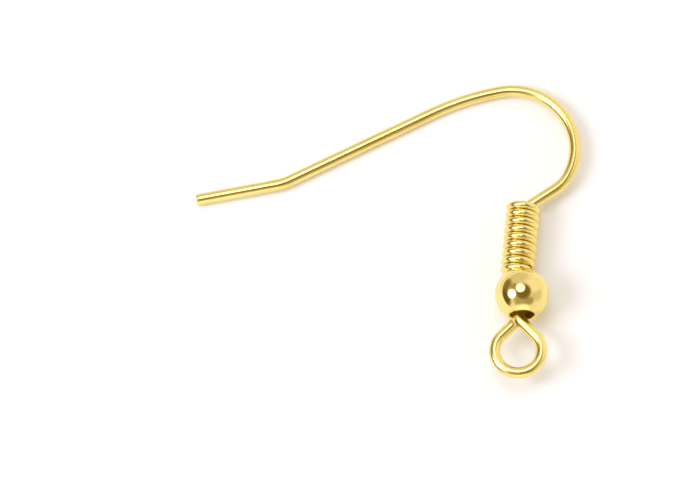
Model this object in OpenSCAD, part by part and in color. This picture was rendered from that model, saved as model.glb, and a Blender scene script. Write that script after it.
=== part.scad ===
// Ear wire with a closed eye, a ball bead and a wire coil, lying flat on a table.
// Millimetres, +Z up, the table is Z = 0. Everything is worked out in the wire's own plane,
// with X across the shank, Y up the shank from the middle of the bead and Z away from the table.
// The whole part is then laid down at the small tilt at which it rests.

/* [Hook wire] */
// diameter of the hook's wire
wire_d = 0.64; // [0.5:0.02:0.8]
// inside diameter of the eye
eye_d = 1.94; // [1.7:0.02:2.4]
// angle between the shank and each straight side of the eye
eye_flank = 44; // [40:0.5:48]
// radius of the bend that turns the shank into the eye
neck_r = 0.65; // [0.5:0.05:0.8]
// how far below the bead's mouth the two sides of the eye would meet
neck_drop = 0.11; // [0.08:0.01:0.4]
// gap between the eye's cut end and the neck
cut_gap = 0.04; // [0.02:0.01:0.15]

/* [Bow and leg] */
// angle the wire turns by at the kink above the coil
kink_turn = 54.7; // [45:0.1:62]
// radius of the kink
kink_r = 0.8; // [0.6:0.05:1]
// straight wire between the kink and the bow
kink_run = 1.88; // [1:0.01:2.6]
// radius of the first, tighter stretch of the bow
low_r = 2.08; // [1.6:0.01:2.8]
// angle of that stretch
low_turn = 27.4; // [20:0.1:35]
// radius of the bow
bow_r = 3.53; // [3:0.01:4.4]
// angle of the bow
bow_turn = 128.9; // [120:0.1:136]
// radius of the slack curve that leads from the bow into the leg
lead_r = 14.4; // [10:0.1:20]
// angle of that curve
lead_turn = 16.1; // [10:0.1:20]
// length of the straight leg
leg_run = 8.73; // [5:0.01:13]
// radius of the bend in front of the tail
tail_r = 3; // [2:0.1:5]
// angle of that bend
tail_turn = 15.9; // [6:0.1:24]
// length of the straight tail that goes through the ear
tail_run = 4.44; // [3:0.01:7]

/* [Ball bead] */
// diameter of the ball
ball_d = 3; // [2.7:0.05:3.4]
// thickness of its wall
ball_wall = 0.3; // [0.2:0.01:0.4]
// diameter of the hole through it
hole_d = 1.32; // [1.2:0.02:1.5]
// rounding of the hole's lip
lip_r = 0.1; // [0.06:0.01:0.14]
// direction in which the ball hangs off the wire, from X towards Z
ball_side = 55; // [0:1:90]
// angle by which the ball tips on the wire
ball_tip = 3; // [0:0.1:4]

/* [Wire coil] */
// diameter of the coil's wire
coil_wire_d = 0.435; // [0.3:0.005:0.5]
// outside diameter of the coil
coil_d = 1.915; // [1.8:0.005:2.1]
// free space between one turn and the next
turn_gap = 0.014; // [0.01:0.002:0.1]
// number of whole turns
coil_turns = 8; // [4:1:10]
// direction in which the coil leans across the wire, from X towards Z
lean_side = 45; // [0:1:90]

/* [Gaps] */
// gap kept between two pieces that touch
gap = 0.02; // [0.01:0.01:0.05]
// gap kept between the coil and the kink
kink_gap = 0.02; // [0.02:0.01:0.3]

/* [Hidden] */
wire_r = wire_d / 2;
coil_wire_r = coil_wire_d / 2;
ball_r = ball_d / 2;
hole_r = hole_d / 2;
// facets: sides round a wire, steps in a turn of the coil and the flat left in a bend
wire_sides = 16;
coil_sides = 12;
coil_steps = 26;
bend_flat = 0.004;
// the bent wire ends in a thinner plug inside the round tail
plug_run = 0.1;
plug_step = 0.02;

// the rounded lip is a small ring that touches the ball's skin and the hole's wall
lip_ring_r = hole_r + lip_r;
lip_ring_y = sqrt(pow(ball_r - lip_r, 2) - pow(lip_ring_r, 2));
lip_y = lip_ring_y + lip_r;

// the ball hangs on the wire as far as the hole lets it, with the tip taken off
ball_off = hole_r - wire_r - gap - lip_ring_y * tan(ball_tip);
ball_x = ball_off * cos(ball_side);
ball_z = ball_off * sin(ball_side);

// coil: rings of one radius, slid across the wire from one end to the other
ring_r = (coil_d - coil_wire_d) / 2;
pitch = coil_wire_d + turn_gap;
coil_from = 40;
coil_to = 180 + 360 * coil_turns;
lean = ring_r - coil_wire_r - wire_r - gap;
function coil_rise(a) = pitch * (a - coil_from) / 360;
function coil_slide(a) = lean * (2 * (a - coil_from) / (coil_to - coil_from) - 1);
function coil_x(a) = coil_slide(a) * cos(lean_side) + ring_r * cos(a);
function coil_z(a) = coil_slide(a) * sin(lean_side) + ring_r * sin(a);

// height at which a turn that passes the ball's axis at a distance r rests on the lip or on the skin
lip_reach = lip_r + coil_wire_r + gap;
skin_reach = ball_r + coil_wire_r + gap;
function rest_y(r) =
  r > skin_reach * lip_ring_r / (ball_r - lip_r) ? sqrt(max(0, pow(skin_reach, 2) - r * r))
  : abs(r - lip_ring_r) < lip_reach ? lip_ring_y + sqrt(pow(lip_reach, 2) - pow(r - lip_ring_r, 2))
  : 0;
first_turn = [for (a = [coil_from : 5 : coil_from + 360]) a];
ball_axis = [-sin(ball_tip) * cos(ball_side), cos(ball_tip), -sin(ball_tip) * sin(ball_side)];
coil_y = max([for (a = first_turn) let (
    p = [coil_x(a) - ball_x, ball_r, coil_z(a) - ball_z],
    y = p * ball_axis
  ) ball_r + (rest_y(norm(p - y * ball_axis)) - y) / cos(ball_tip) - coil_rise(a)]);
function coil_point(a) = [coil_x(a), coil_y + coil_rise(a), coil_z(a)];

// the kink's straight passes the last turn with the gap asked for
last_turn = [for (a = [coil_to - 360 : 5 : coil_to]) coil_point(a)];
reach = wire_r + coil_wire_r + kink_gap;
kink_y = max([for (p = last_turn) if (p[0] > 0 && abs(p[2]) < reach)
  p[1] + (sqrt(reach * reach - p[2] * p[2]) - p[0] * cos(kink_turn)) / sin(kink_turn)]);

// eye: its two straight sides meet on the shank's axis just below the ball
eye_r = eye_d / 2 + wire_r;
eye_top = -lip_y - neck_drop;
eye_side = eye_r / tan(eye_flank);
neck_side = neck_r * tan(eye_flank / 2);
cut_back = (wire_r * (1 + abs(cos(2 * eye_flank))) + cut_gap) / sin(2 * eye_flank);
eye_heading = 270 - eye_flank;
cut_end = [0, eye_top] + cut_back * [cos(eye_heading), sin(eye_heading)];
kink_side = kink_r * tan(kink_turn / 2);
shank_run = kink_y - kink_side - (eye_top + neck_side);

// straight length, then bend radius and angle, positive to the left
bends = [
  [eye_side - cut_back, eye_r, 180 + 2 * eye_flank],
  [eye_side - neck_side, neck_r, -eye_flank],
  [shank_run, kink_r, -kink_turn],
  [kink_run, low_r, low_turn],
  [0, bow_r, bow_turn],
  [0, lead_r, lead_turn],
  [leg_run, tail_r, -tail_turn],
  [tail_run, 0, 0]
];

function steps(r, turn) = ceil(abs(turn) / (2 * acos(1 - bend_flat / (r + wire_r))));

// stations along the wire, each with its place and heading
function stations(i, x, y, h) = i == len(bends) ? [] : let (
    run = bends[i][0],
    r = sign(bends[i][2]) * bends[i][1],
    turn = bends[i][2],
    n = turn == 0 ? 0 : steps(abs(r), turn),
    x1 = x + run * cos(h),
    y1 = y + run * sin(h),
    arc = [for (k = [1 : 1 : n]) let (g = h + turn * k / n)
      [x1 + r * (sin(g) - sin(h)), y1 - r * (cos(g) - cos(h)), g]],
    last = n == 0 ? [x1, y1, h] : arc[n - 1]
  ) concat(run == 0 ? [] : [[x1, y1, h]], arc, stations(i + 1, last[0], last[1], last[2]));
wire = concat([[cut_end[0], cut_end[1], eye_heading]],
  stations(0, cut_end[0], cut_end[1], eye_heading));

// the wire rests on its tail's end and on the outside of the bow, the ball on its skin
tail = [wire[len(wire) - 1][0], wire[len(wire) - 1][1]];
rest_angle = max([for (s = wire) if (s[0] > tail[0] + tail_run + tail_r)
  atan2(s[1] - tail[1], s[0] - tail[0])]);
rest_dir = [cos(rest_angle), sin(rest_angle), 0];
rest_side = [sin(rest_angle), -cos(rest_angle), 0];
ball_span = (ball_x - tail[0]) * rest_side[0] - tail[1] * rest_side[1];
tilt = asin((ball_r - wire_r) / norm([ball_span, ball_z])) - atan2(ball_z, ball_span);

function laid_dir(d) = rest_dir * (d * rest_dir)
  + (rest_side * cos(tilt) + [0, 0, sin(tilt)]) * (d * rest_side)
  + ([0, 0, cos(tilt)] - rest_side * sin(tilt)) * d[2];
function laid(p) = [tail[0], tail[1], wire_r] + laid_dir(p - [tail[0], tail[1], 0]);
function spread(s, axis) = wire_r * sqrt(1 - pow(laid_dir([cos(s[2]), sin(s[2]), 0])[axis], 2));
function edge(axis, side) = side * max([for (s = wire)
  side * laid([s[0], s[1], 0])[axis] + spread(s, axis)]);
middle = [(edge(0, 1) + edge(0, -1)) / 2, (edge(1, 1) + edge(1, -1)) / 2, 0];

$fn = 64;

// puts what is drawn in the wire's plane down on the table, over the middle of the box
module lay() {
  translate([tail[0], tail[1], wire_r] - middle)
    rotate(a = -tilt, v = rest_dir)
      translate([-tail[0], -tail[1], 0])
        children();
}

// closed tube through rings of points
module tube(rings) {
  sides = len(rings[0]);
  last = len(rings) - 1;
  walls = [for (i = [0 : last - 1], j = [0 : sides - 1]) let (
      a = i * sides + j,
      b = i * sides + (j + 1) % sides
    ) each [[a, b + sides, b], [a, a + sides, b + sides]]];
  caps = [
    [for (j = [0 : sides - 1]) j],
    [for (j = [sides - 1 : -1 : 0]) last * sides + j]
  ];
  polyhedron(points = [for (ring = rings) each ring], faces = concat(walls, caps));
}

// ring of points round the wire at a station, pushed along it by push
function wire_ring(s, r, push = 0) = [for (j = [0 : wire_sides - 1]) let (g = (j + 0.5) * 360 / wire_sides) [
  s[0] + push * cos(s[2]) + r * cos(g) * sin(s[2]),
  s[1] + push * sin(s[2]) - r * cos(g) * cos(s[2]),
  -r * sin(g)
]];

module ear_hook() {
  bent = [for (i = [0 : len(wire) - 2]) wire[i]];
  root = bent[len(bent) - 1];
  color([0.86, 0.66, 0.3]) lay() {
    tube(concat(
      [for (s = bent) wire_ring(s, wire_r, s == root ? -plug_step : 0)],
      [wire_ring(root, wire_r - plug_step), wire_ring(root, wire_r - plug_step, plug_run)]
    ));
    translate([root[0], root[1], 0])
      rotate([0, 90, root[2]])
        cylinder(d = wire_d, h = tail_run);
  }
}

module ball_bead() {
  color([0.86, 0.66, 0.3]) lay()
    translate([ball_x, 0, ball_z])
      rotate([0, -ball_side, 0])
        rotate([0, 0, ball_tip])
          rotate([-90, 0, 0])
            rotate_extrude() ball_wall_section();
}

// half section of the ball's wall with both lips
module ball_wall_section() {
  union() {
    difference() {
      shell_section();
      translate([-ball_d, -ball_d]) square([ball_d + lip_ring_r, 2 * ball_d]);
    }
    difference() {
      shell_section();
      translate([-ball_d, -ball_d]) square([ball_d + hole_r, 2 * ball_d]);
      translate([-gap, lip_ring_y]) square([lip_ring_r + gap, ball_r]);
      translate([-gap, -lip_ring_y - ball_r]) square([lip_ring_r + gap, ball_r]);
      translate([lip_ring_r, -ball_d]) square([ball_d, 2 * ball_d]);
    }
    for (side = [-1, 1]) translate([lip_ring_r, side * lip_ring_y]) circle(r = lip_r);
  }
}

module shell_section() {
  difference() {
    circle(r = ball_r);
    circle(r = ball_r - ball_wall);
  }
}

module wire_coil() {
  stations = ceil((coil_to - coil_from) * coil_steps / 360);
  slope = coil_rise(360) - coil_rise(0);
  climb = atan2(slope, 2 * PI * ring_r);
  color([0.86, 0.66, 0.3]) lay()
    tube([for (i = [0 : stations]) let (a = coil_from + i * (coil_to - coil_from) / stations)
      [for (j = [0 : coil_sides - 1]) let (
          g = (j + 0.5) * 360 / coil_sides,
          out = coil_wire_r * cos(g),
          up = coil_wire_r * sin(g)
        ) coil_point(a) + [
          out * cos(a) + up * sin(climb) * sin(a),
          up * cos(climb),
          out * sin(a) - up * sin(climb) * cos(a)
        ]]]);
}

ear_hook();
ball_bead();
wire_coil();
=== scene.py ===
"""Looks of the ear wire: finer meshes of its wire, ball and coil, polished gold, a table and soft light."""
import math

import bpy
import numpy as np
from mathutils import Matrix, Vector


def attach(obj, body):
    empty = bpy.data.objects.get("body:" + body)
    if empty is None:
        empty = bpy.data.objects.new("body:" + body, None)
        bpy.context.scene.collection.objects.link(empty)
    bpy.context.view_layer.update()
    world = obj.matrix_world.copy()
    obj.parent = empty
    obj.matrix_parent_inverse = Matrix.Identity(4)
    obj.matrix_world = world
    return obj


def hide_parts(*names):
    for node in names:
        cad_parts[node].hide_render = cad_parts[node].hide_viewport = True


MM = 0.001

# the driving dimensions of the CAD model, in millimetres and degrees: first the bent wire
WIRE_R = 0.32
EYE_R = 0.97 + WIRE_R
EYE_FLANK = 44.0
NECK_R = 0.65
NECK_DROP = 0.11
CUT_GAP = 0.04
KINK_TURN = 54.7
KINK_R = 0.8
KINK_RUN = 1.88
LOW_R = 2.08
LOW_TURN = 27.4
BOW_R = 3.53
BOW_TURN = 128.9
LEAD_R = 14.4
LEAD_TURN = 16.1
LEG_RUN = 8.73
TAIL_R = 3.0
TAIL_TURN = 15.9
TAIL_RUN = 4.44

# the ball, and which way and how far it leans on the wire
BALL_R = 1.5
BALL_WALL = 0.3
HOLE_R = 0.66
LIP_R = 0.1
BALL_SIDE = 55.0
BALL_TIP = 3.0

# the coil: its wire, its turns, and the angles of its first end and of the side it leans to
COIL_WIRE_R = 0.2175
RING_R = 0.74
TURN_GAP = 0.014
COIL_TURNS = 8
COIL_FROM = 40.0
LEAN_SIDE = 45.0

# the gaps between the pieces
GAP = 0.02
KINK_GAP = 0.02

# how fine the meshes are: degrees and millimetres between the wire's stations, sides of the round wires,
# steps of a coil's turn, steps of the ball's skin, of a lip and of the inside, and the ball's slices
BEND_STEP = 3.0
RUN_STEP = 0.25
WIRE_SIDES = 40
COIL_SIDES = 28
TURN_STEPS = 64
SKIN_STEPS = 72
LIP_STEPS = 12
INSIDE_STEPS = 40
BALL_SLICES = 128
# degrees between the places where the coil is tried against the ball and the kink
TRY_STEP = 5.0

# the broken edges of the cut ends, and the share of the break where it is rounded
WIRE_BURR = 0.03
COIL_BURR = 0.02
BURR_ROUND = 0.3

# how far from the ball's middle, against the inside radius, a face still counts as inside
INSIDE_REACH = 1.02

# the plating: two golds that blend, how rough each piece is and how strongly its surface ripples
GOLD_DEEP = (0.91, 0.73, 0.24, 1.0)
GOLD_PALE = (0.95, 0.80, 0.30, 1.0)
HOOK_GLOSS = (0.22, 0.15)
BALL_GLOSS = (0.11, 0.1)
COIL_GLOSS = (0.24, 0.15)
# the noise behind it: spots of colour and gloss with their spread, and finer ripples with a height in metres
STAIN_SCALE = 420.0
STAIN_DETAIL = 3.0
STAIN_FROM = 0.35
STAIN_TO = 0.65
RUB_LEAST = 0.7
RUB_MOST = 1.3
RIPPLE_SCALE = 2600.0
RIPPLE_DETAIL = 2.0
RIPPLE_HEIGHT = 0.00001

# painted light inside the ball: a redder, brighter and duller copy of the gold that stands in for the light
# bouncing about inside the hole
PAINTED_INSIDE_DEEP = (1.0, 0.76, 0.2, 1.0)
PAINTED_INSIDE_PALE = (1.0, 0.82, 0.28, 1.0)
PAINTED_INSIDE_GLOSS = (0.25, 0.3)
PAINTED_INSIDE_METALLIC = 0.8

# the camera: the photograph's size, where it stands in degrees and millimetres, the photograph's scale,
# where the ball's middle lies in the photograph, the sensor's width, and the clip distances in metres
IMAGE_W = 695
IMAGE_H = 487
CAMERA_ELEVATION = 72.7
CAMERA_AZIMUTH = -1.05
CAMERA_DISTANCE = 400.0
PX_PER_MM = 18.2
BALL_PX = (521.9, 294.4)
SENSOR = 36.0
CLIP_NEAR = 0.01
CLIP_FAR = 10.0

# the table, in metres, and its faint warm light
TABLE_HALF = 0.4
TABLE_WHITE = (0.97, 0.97, 0.97, 1.0)
TABLE_ROUGHNESS = 0.6
TABLE_WARMTH = (1.0, 0.9, 0.74, 1.0)
TABLE_GLOW = 0.085

# the lamps: how far they are in metres, their colour, and for each its name, its lean from straight up to
# the right and to the back, its radiance and how wide it looks
LAMP_DISTANCE = 0.4
LAMP_COLOR = (0.95, 1.0, 1.18)
LAMPS = [
    # name, right, back, radiance, spread
    ("top_lamp", -5.0, 10.5, 2.3, 36.0),
    ("left_lamp", -43.0, -12.0, 4.9, 33.0),
]

# the tent: how bright it is, and its patches in the order they are laid on, each with its lean from straight
# up to the right and to the back, the angles where it is full and gone, and its brightness
TENT_GLOW = 0.95
TENT_PATCHES = [
    # right, back, full, gone, brightness
    (-15.0, 62.0, 15.0, 50.0, 0.74),
    (60.0, 20.0, 10.0, 60.0, 1.0),
    (60.0, -18.0, 6.0, 26.0, 0.72),
    (-5.0, -40.0, 18.0, 38.0, 0.5),
    (36.0, -42.0, 4.0, 24.0, 0.42),
    (82.0, -6.0, 6.0, 24.0, 0.74),
    (-70.0, 33.0, 14.0, 32.0, 0.26),
    (-80.0, -24.0, 18.0, 36.0, 0.14),
    (-36.0, 18.0, 6.0, 22.0, 0.42),
    (6.0, -3.0, 24.0, 40.0, 0.2),
    (4.0, -86.0, 10.0, 34.0, 1.4),
]
# the tent's colours, from the darkest patches to where it is pale, and the brightness of both
TENT_WARM = (1.0, 0.73, 0.24, 1.0)
TENT_PALE = (1.05, 0.99, 0.97, 1.0)
WARM_AT = 0.2
PALE_AT = 0.8


def cos(a):
    return math.cos(math.radians(a))


def sin(a):
    return math.sin(math.radians(a))


def tan(a):
    return math.tan(math.radians(a))


# places in the wire's own plane: X across the shank, Y up the shank from the ball's middle, Z away from
# the table; the lip's round is a ring about the hole, and the ball is off the shank by what its hole leaves
LIP_RING_R = HOLE_R + LIP_R
LIP_RING_Y = math.sqrt((BALL_R - LIP_R) ** 2 - LIP_RING_R ** 2)
LIP_Y = LIP_RING_Y + LIP_R
BALL_OFF = HOLE_R - WIRE_R - GAP - LIP_RING_Y * tan(BALL_TIP)
BALL = np.array([BALL_OFF * cos(BALL_SIDE), 0.0, BALL_OFF * sin(BALL_SIDE)])
BALL_AXIS = np.array([-sin(BALL_TIP) * cos(BALL_SIDE), cos(BALL_TIP), -sin(BALL_TIP) * sin(BALL_SIDE)])

# the angle of the coil's last end, what a turn rises, and how far the coil's middle leans off the shank
COIL_TO = 180 + 360 * COIL_TURNS
PITCH = 2 * COIL_WIRE_R + TURN_GAP
LEAN = RING_R - COIL_WIRE_R - WIRE_R - GAP


def ring_point(a, base=0.0):
    """The coil's middle line at the angle a, with its first end at the height base."""
    slide = LEAN * (2 * (a - COIL_FROM) / (COIL_TO - COIL_FROM) - 1)
    return np.array([
        slide * cos(LEAN_SIDE) + RING_R * cos(a),
        base + PITCH * (a - COIL_FROM) / 360,
        slide * sin(LEAN_SIDE) + RING_R * sin(a),
    ])


def rest_height(r):
    """Height over the ball's middle at which the coil's wire rests, at the distance r from the ball's axis."""
    skin = BALL_R + COIL_WIRE_R + GAP
    lip = LIP_R + COIL_WIRE_R + GAP
    if r > skin * LIP_RING_R / (BALL_R - LIP_R):
        return math.sqrt(max(0.0, skin ** 2 - r * r))
    if abs(r - LIP_RING_R) < lip:
        return LIP_RING_Y + math.sqrt(lip ** 2 - (r - LIP_RING_R) ** 2)
    return 0.0


def coil_base():
    """Height of the coil's first end, with its first turn resting on the ball."""
    heights = []
    for a in np.arange(COIL_FROM, COIL_FROM + 361, TRY_STEP):
        p = ring_point(a)
        rise = p[1]
        p = np.array([p[0], BALL_R, p[2]]) - BALL
        y = p @ BALL_AXIS
        heights.append(BALL_R + (rest_height(np.linalg.norm(p - y * BALL_AXIS)) - y) / cos(BALL_TIP) - rise)
    return max(heights)


COIL_BASE = coil_base()


def kink_height():
    """Height at which the shank's axis meets the kink's straight, clear of the coil's last turn."""
    reach = WIRE_R + COIL_WIRE_R + KINK_GAP
    heights = []
    for a in np.arange(COIL_TO - 360, COIL_TO + 1, TRY_STEP):
        p = ring_point(a, COIL_BASE)
        if p[0] > 0 and abs(p[2]) < reach:
            clear = math.sqrt(reach ** 2 - p[2] ** 2)
            heights.append(p[1] + (clear - p[0] * cos(KINK_TURN)) / sin(KINK_TURN))
    return max(heights)


def wire_bends():
    """The cut end, its heading, and the rows of the bending plan: run, bend radius and angle to the left."""
    top = -LIP_Y - NECK_DROP
    side = EYE_R / tan(EYE_FLANK)
    neck = NECK_R * tan(EYE_FLANK / 2)
    back = (WIRE_R * (1 + abs(cos(2 * EYE_FLANK))) + CUT_GAP) / sin(2 * EYE_FLANK)
    heading = 270 - EYE_FLANK
    start = (back * cos(heading), top + back * sin(heading))
    shank = kink_height() - KINK_R * tan(KINK_TURN / 2) - (top + neck)
    rows = [
        (side - back, EYE_R, 180 + 2 * EYE_FLANK),
        (side - neck, NECK_R, -EYE_FLANK),
        (shank, KINK_R, -KINK_TURN),
        (KINK_RUN, LOW_R, LOW_TURN),
        (0.0, BOW_R, BOW_TURN),
        (0.0, LEAD_R, LEAD_TURN),
        (LEG_RUN, TAIL_R, -TAIL_TURN),
        (TAIL_RUN, 0.0, 0.0),
    ]
    return start, heading, rows


def wire_stations(step, run_step):
    """Places and headings along the wire, with at most step degrees and run_step millimetres between them."""
    (x, y), h, rows = wire_bends()
    stations = [(x, y, h)]
    for run, radius, turn in rows:
        pieces = math.ceil(run / run_step)
        for k in range(1, pieces + 1):
            stations.append((x + run * k / pieces * cos(h), y + run * k / pieces * sin(h), h))
        x, y = x + run * cos(h), y + run * sin(h)
        if turn:
            r = math.copysign(radius, turn)
            pieces = math.ceil(max(abs(turn) / step, abs(math.radians(turn)) * radius / run_step))
            for k in range(1, pieces + 1):
                g = h + turn * k / pieces
                stations.append((x + r * (sin(g) - sin(h)), y - r * (cos(g) - cos(h)), g))
            x, y, h = stations[-1]
    return stations


WIRE = wire_stations(BEND_STEP, RUN_STEP)
TAIL = np.array([WIRE[-1][0], WIRE[-1][1], 0.0])


def rest_pose():
    """Direction of the line the wire rests on, and the tilt that brings the ball down to the table."""
    far = [s for s in WIRE if s[0] > TAIL[0] + TAIL_RUN + TAIL_R]
    angle = max(math.degrees(math.atan2(s[1] - TAIL[1], s[0] - TAIL[0])) for s in far)
    side = np.array([sin(angle), -cos(angle), 0.0])
    span = (BALL - TAIL) @ side
    lift = math.asin((BALL_R - WIRE_R) / math.hypot(span, BALL[2]))
    return angle, math.degrees(lift - math.atan2(BALL[2], span))


REST_ANGLE, TILT = rest_pose()


def laid(points):
    """Points of the wire's plane, put down on the table, in millimetres and not yet centred."""
    line = Vector((cos(REST_ANGLE), sin(REST_ANGLE), 0.0))
    turn = np.array(Matrix.Rotation(math.radians(-TILT), 3, line))
    return (np.asarray(points) - TAIL) @ turn.T + TAIL + np.array([0.0, 0.0, WIRE_R])


def box_middle():
    """Middle of the laid wire's box, which is the frame's origin."""
    line = laid([(x, y, 0.0) for x, y, h in WIRE])
    heading = laid([(x + cos(h), y + sin(h), 0.0) for x, y, h in WIRE]) - line
    spread = WIRE_R * np.sqrt(np.maximum(0.0, 1 - heading[:, :2] ** 2))
    low = (line[:, :2] - spread).min(axis=0)
    high = (line[:, :2] + spread).max(axis=0)
    return np.array([*(low + high) / 2, 0.0])


MIDDLE = box_middle()


def placed(points):
    """Points of the wire's plane in the frame, in metres."""
    return (laid(points) - MIDDLE) * MM


def mesh_piece(name, points, faces, node, material):
    """A smooth mesh in the frame that stands for a CAD node and rides on the only body."""
    mesh = bpy.data.meshes.new(name)
    mesh.from_pydata([tuple(p) for p in points], [], faces)
    mesh.validate()
    mesh.materials.append(material)
    for polygon in mesh.polygons:
        polygon.use_smooth = True
    piece = bpy.data.objects.new(name, mesh)
    bpy.context.scene.collection.objects.link(piece)
    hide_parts(node)
    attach(piece, "root")
    return piece


def tube(rings):
    """Points and faces of a closed tube through rings of points."""
    count = len(rings[0])
    points = [p for ring in rings for p in ring]
    faces = []
    for i in range(len(rings) - 1):
        for j in range(count):
            a, b = i * count + j, i * count + (j + 1) % count
            faces.append((a, b, b + count, a + count))
    faces.append(tuple(range(count - 1, -1, -1)))
    faces.append(tuple((len(rings) - 1) * count + j for j in range(count)))
    return points, faces


def swept(line, forward, side, up, radius, sides, burr):
    """Rings of a round wire along a line, with the edges of its two cut ends broken by burr."""
    rings = []
    last = len(line) - 1
    for i in range(last + 1):
        for push, r in end_rings(i, last, radius, burr):
            centre = line[i] + forward[i] * push
            rings.append([
                centre + r * (cos(360 * j / sides) * side[i] + sin(360 * j / sides) * up[i])
                for j in range(sides)
            ])
    return rings


def end_rings(i, last, radius, burr):
    """Steps along the wire and radii of the rings at station i."""
    part = burr * BURR_ROUND
    if i == 0:
        return [(0.0, radius - burr), (part, radius - part), (burr, radius)]
    if i == last:
        return [(-burr, radius), (-part, radius - part), (0.0, radius - burr)]
    return [(0.0, radius)]


def make_hook(material):
    """The bent wire of the hook, from the eye's cut end to the tail's."""
    line = np.array([(x, y, 0.0) for x, y, h in WIRE])
    forward = np.array([(cos(h), sin(h), 0.0) for x, y, h in WIRE])
    side = np.array([(sin(h), -cos(h), 0.0) for x, y, h in WIRE])
    up = np.tile([0.0, 0.0, -1.0], (len(WIRE), 1))
    rings = swept(line, forward, side, up, WIRE_R, WIRE_SIDES, WIRE_BURR)
    points, faces = tube([placed(ring) for ring in rings])
    return mesh_piece("hook_wire", points, faces, "ear_hook", material)


def make_coil(material):
    """The coil, wound from a finer wire, leaning on the shank."""
    angles = np.linspace(COIL_FROM, COIL_TO, COIL_TURNS * TURN_STEPS + 1)
    line = np.array([ring_point(a, COIL_BASE) for a in angles])
    forward = np.gradient(line, axis=0)
    forward /= np.linalg.norm(forward, axis=1)[:, None]
    out = np.array([(cos(a), 0.0, sin(a)) for a in angles])
    out -= forward * np.sum(out * forward, axis=1)[:, None]
    out /= np.linalg.norm(out, axis=1)[:, None]
    up = np.cross(forward, out)
    rings = swept(line, forward, out, up, COIL_WIRE_R, COIL_SIDES, COIL_BURR)
    points, faces = tube([placed(ring) for ring in rings])
    return mesh_piece("coil_wire", points, faces, "wire_coil", material)


def ball_section():
    """Closed half section of the ball's wall, as distance from the axis and height, from lip to lip."""
    outer_from = math.degrees(math.asin(LIP_RING_Y / (BALL_R - LIP_R)))
    section = [
        (BALL_R * cos(a), BALL_R * sin(a))
        for a in np.linspace(-outer_from, outer_from, SKIN_STEPS + 1)
    ]
    section += [
        (LIP_RING_R + LIP_R * cos(a), LIP_RING_Y + LIP_R * sin(a))
        for a in np.linspace(outer_from, 180, LIP_STEPS + 1)[1:]
    ]
    inner_r = BALL_R - BALL_WALL
    inner_to = math.degrees(math.acos(HOLE_R / inner_r))
    section += [
        (inner_r * cos(a), inner_r * sin(a))
        for a in np.linspace(inner_to, -inner_to, INSIDE_STEPS + 1)
    ]
    section += [
        (LIP_RING_R + LIP_R * cos(a), -LIP_RING_Y + LIP_R * sin(a))
        for a in np.linspace(180, 360 - outer_from, LIP_STEPS + 1)[:-1]
    ]
    return section


def make_ball(material, inside):
    """The hollow ball with its two rolled lips, with painted light on its inside faces."""
    across = np.array([cos(BALL_SIDE) * cos(BALL_TIP), sin(BALL_TIP), sin(BALL_SIDE) * cos(BALL_TIP)])
    third = np.cross(across, BALL_AXIS)
    section = ball_section()
    rings = []
    for k in range(BALL_SLICES):
        out = cos(360 * k / BALL_SLICES) * across + sin(360 * k / BALL_SLICES) * third
        rings.append([BALL + r * out + y * BALL_AXIS for r, y in section])
    count = len(section)
    points = [p for ring in rings for p in placed(ring)]
    faces = []
    for i in range(BALL_SLICES):
        for j in range(count):
            a, b = i * count + j, i * count + (j + 1) % count
            shift = ((i + 1) % BALL_SLICES - i) * count
            faces.append((a, b, b + shift, a + shift))
    piece = mesh_piece("ball_shell", points, faces, "ball_bead", material)
    # the faces inside the wall take the second material, the painted light of the hole
    piece.data.materials.append(inside)
    inner_r = (BALL_R - BALL_WALL) * MM
    middle = Vector(placed([BALL])[0])
    for polygon in piece.data.polygons:
        if (polygon.center - middle).length < inner_r * INSIDE_REACH:
            polygon.material_index = 1
    return piece


def metal(name, deep, pale, gloss, metallic):
    """A polished metal between two colours, with a faint unevenness of colour, gloss and surface."""
    roughness, ripple = gloss
    material = bpy.data.materials.new(name)
    material.use_nodes = True
    nodes, links = material.node_tree.nodes, material.node_tree.links
    shader = nodes["Principled BSDF"]
    shader.inputs["Metallic"].default_value = metallic
    place = nodes.new("ShaderNodeTexCoord")
    stain = nodes.new("ShaderNodeTexNoise")
    stain.inputs["Scale"].default_value = STAIN_SCALE
    stain.inputs["Detail"].default_value = STAIN_DETAIL
    links.new(place.outputs["Object"], stain.inputs["Vector"])
    tint = nodes.new("ShaderNodeValToRGB")
    tint.color_ramp.elements[0].position = STAIN_FROM
    tint.color_ramp.elements[0].color = deep
    tint.color_ramp.elements[1].position = STAIN_TO
    tint.color_ramp.elements[1].color = pale
    links.new(stain.outputs["Fac"], tint.inputs["Fac"])
    links.new(tint.outputs["Color"], shader.inputs["Base Color"])
    rub = nodes.new("ShaderNodeMapRange")
    rub.inputs["To Min"].default_value = roughness * RUB_LEAST
    rub.inputs["To Max"].default_value = roughness * RUB_MOST
    links.new(stain.outputs["Fac"], rub.inputs["Value"])
    links.new(rub.outputs["Result"], shader.inputs["Roughness"])
    fine = nodes.new("ShaderNodeTexNoise")
    fine.inputs["Scale"].default_value = RIPPLE_SCALE
    fine.inputs["Detail"].default_value = RIPPLE_DETAIL
    links.new(place.outputs["Object"], fine.inputs["Vector"])
    bump = nodes.new("ShaderNodeBump")
    bump.inputs["Strength"].default_value = ripple
    bump.inputs["Distance"].default_value = RIPPLE_HEIGHT
    links.new(fine.outputs["Fac"], bump.inputs["Height"])
    links.new(bump.outputs["Normal"], shader.inputs["Normal"])
    return material


def gold(name, gloss):
    """Polished gold plating."""
    return metal(name, GOLD_DEEP, GOLD_PALE, gloss, 1.0)


def painted_inside_light():
    """Painted light inside the ball: a redder, brighter, duller copy of the gold for the light that bounces
    about in the hole.
    """
    return metal("painted_inside_light", PAINTED_INSIDE_DEEP, PAINTED_INSIDE_PALE, PAINTED_INSIDE_GLOSS, PAINTED_INSIDE_METALLIC)


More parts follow.
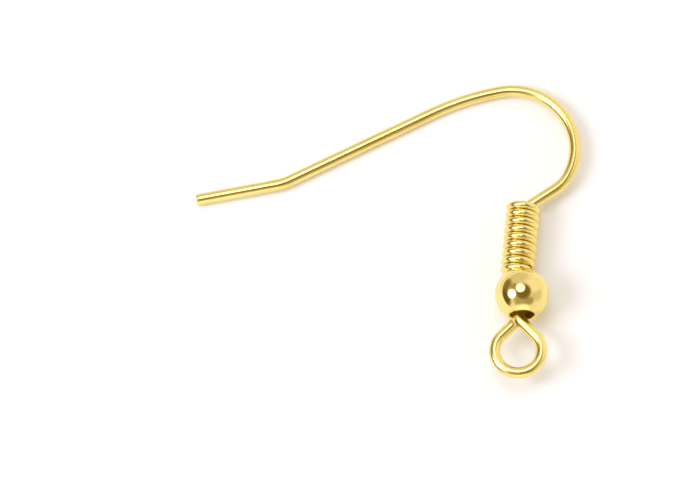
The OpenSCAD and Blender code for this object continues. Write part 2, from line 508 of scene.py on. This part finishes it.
def make_table():
    """A white table under the part, lit a little from below."""
    corners = [(x * TABLE_HALF, y * TABLE_HALF, 0) for x, y in ((-1, -1), (1, -1), (1, 1), (-1, 1))]
    mesh = bpy.data.meshes.new("table_top")
    mesh.from_pydata(corners, [], [(0, 1, 2, 3)])
    table = bpy.data.objects.new("table_top", mesh)
    bpy.context.scene.collection.objects.link(table)
    paint = bpy.data.materials.new("white_table")
    paint.use_nodes = True
    shader = paint.node_tree.nodes["Principled BSDF"]
    shader.inputs["Base Color"].default_value = TABLE_WHITE
    shader.inputs["Roughness"].default_value = TABLE_ROUGHNESS
    shader.inputs["Emission Color"].default_value = TABLE_WARMTH
    shader.inputs["Emission Strength"].default_value = TABLE_GLOW
    mesh.materials.append(paint)
    return table


def sky(right, back):
    """Direction that leans from straight up by these angles, to the right and to the back."""
    lean = math.hypot(right, back)
    return Vector((sin(lean) * right / lean, sin(lean) * back / lean, cos(lean)))


def soft_lamp(name, right, back, radiance, spread):
    """A round lamp in a direction of the sky, that shines with a radiance and looks spread degrees wide."""
    size = 2 * LAMP_DISTANCE * tan(spread / 2)
    light = bpy.data.lights.new(name, "AREA")
    light.shape = "DISK"
    light.size = size
    light.energy = math.pi ** 2 * size * size / 4 * radiance
    light.color = LAMP_COLOR
    lamp = bpy.data.objects.new(name, light)
    bpy.context.scene.collection.objects.link(lamp)
    lamp.location = sky(right, back) * LAMP_DISTANCE
    lamp.rotation_mode = "QUATERNION"
    lamp.rotation_quaternion = (-sky(right, back)).to_track_quat("-Z", "Y")
    return lamp


def make_room():
    """The pale tent round the table, with darker patches about its lamps and a brighter one low in front."""
    world = bpy.data.worlds.new("tent")
    bpy.context.scene.world = world
    world.use_nodes = True
    nodes, links = world.node_tree.nodes, world.node_tree.links
    back = nodes["Background"]
    place = nodes.new("ShaderNodeTexCoord")
    glow = None
    for right, behind, full, gone, value in TENT_PATCHES:
        dot = nodes.new("ShaderNodeVectorMath")
        dot.operation = "DOT_PRODUCT"
        dot.inputs[1].default_value = sky(right, behind)
        links.new(place.outputs["Generated"], dot.inputs[0])
        fade = nodes.new("ShaderNodeMapRange")
        fade.interpolation_type = "SMOOTHSTEP"
        fade.inputs["From Min"].default_value = cos(gone)
        fade.inputs["From Max"].default_value = cos(full)
        links.new(dot.outputs["Value"], fade.inputs["Value"])
        patch = nodes.new("ShaderNodeMix")
        patch.inputs["A"].default_value = TENT_GLOW
        patch.inputs["B"].default_value = value
        links.new(fade.outputs["Result"], patch.inputs["Factor"])
        if glow:
            links.new(glow, patch.inputs["A"])
        glow = patch.outputs["Result"]
    links.new(glow, back.inputs["Strength"])
    pale = nodes.new("ShaderNodeMapRange")
    pale.inputs["From Min"].default_value = WARM_AT
    pale.inputs["From Max"].default_value = PALE_AT
    links.new(glow, pale.inputs["Value"])
    tint = nodes.new("ShaderNodeMix")
    tint.data_type = "RGBA"
    tint.inputs["A"].default_value = TENT_WARM
    tint.inputs["B"].default_value = TENT_PALE
    links.new(pale.outputs["Result"], tint.inputs["Factor"])
    links.new(tint.outputs["Result"], back.inputs["Color"])


def make_camera():
    """A long lens at the photograph's angle, with the ball where the photograph has it."""
    focal_px = PX_PER_MM * CAMERA_DISTANCE
    e, a = CAMERA_ELEVATION, CAMERA_AZIMUTH
    back = Vector((-sin(a) * cos(e), -cos(a) * cos(e), sin(e)))
    right = Vector((cos(a), -sin(a), 0.0))
    up = back.cross(right)
    ball = Vector(placed([BALL])[0])
    aim = -back * focal_px + right * (IMAGE_W / 2 - BALL_PX[0]) + up * (BALL_PX[1] - IMAGE_H / 2)
    aim.normalize()
    right = (right - aim * right.dot(aim)).normalized()
    up = right.cross(aim)
    camera = bpy.data.cameras.new("camera")
    camera.sensor_width = SENSOR
    camera.lens = SENSOR * focal_px / IMAGE_W
    camera.clip_start = CLIP_NEAR
    camera.clip_end = CLIP_FAR
    thing = bpy.data.objects.new("camera", camera)
    bpy.context.scene.collection.objects.link(thing)
    turn = Matrix((right, up, -aim)).transposed().to_4x4()
    thing.matrix_world = Matrix.Translation(ball + back * CAMERA_DISTANCE * MM) @ turn
    bpy.context.scene.camera = thing


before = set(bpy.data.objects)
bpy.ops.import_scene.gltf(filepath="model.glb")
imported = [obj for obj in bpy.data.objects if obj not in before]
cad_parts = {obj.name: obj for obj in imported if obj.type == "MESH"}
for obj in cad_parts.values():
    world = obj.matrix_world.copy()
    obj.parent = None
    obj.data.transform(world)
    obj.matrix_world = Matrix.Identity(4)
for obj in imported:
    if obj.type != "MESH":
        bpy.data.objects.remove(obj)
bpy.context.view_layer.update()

make_camera()
make_table()
make_room()
for lamp in LAMPS:
    soft_lamp(*lamp)
make_hook(gold("hook_plating", HOOK_GLOSS))
make_ball(gold("ball_plating", BALL_GLOSS), painted_inside_light())
make_coil(gold("coil_plating", COIL_GLOSS))
bpy.context.scene.view_settings.view_transform = "Standard"
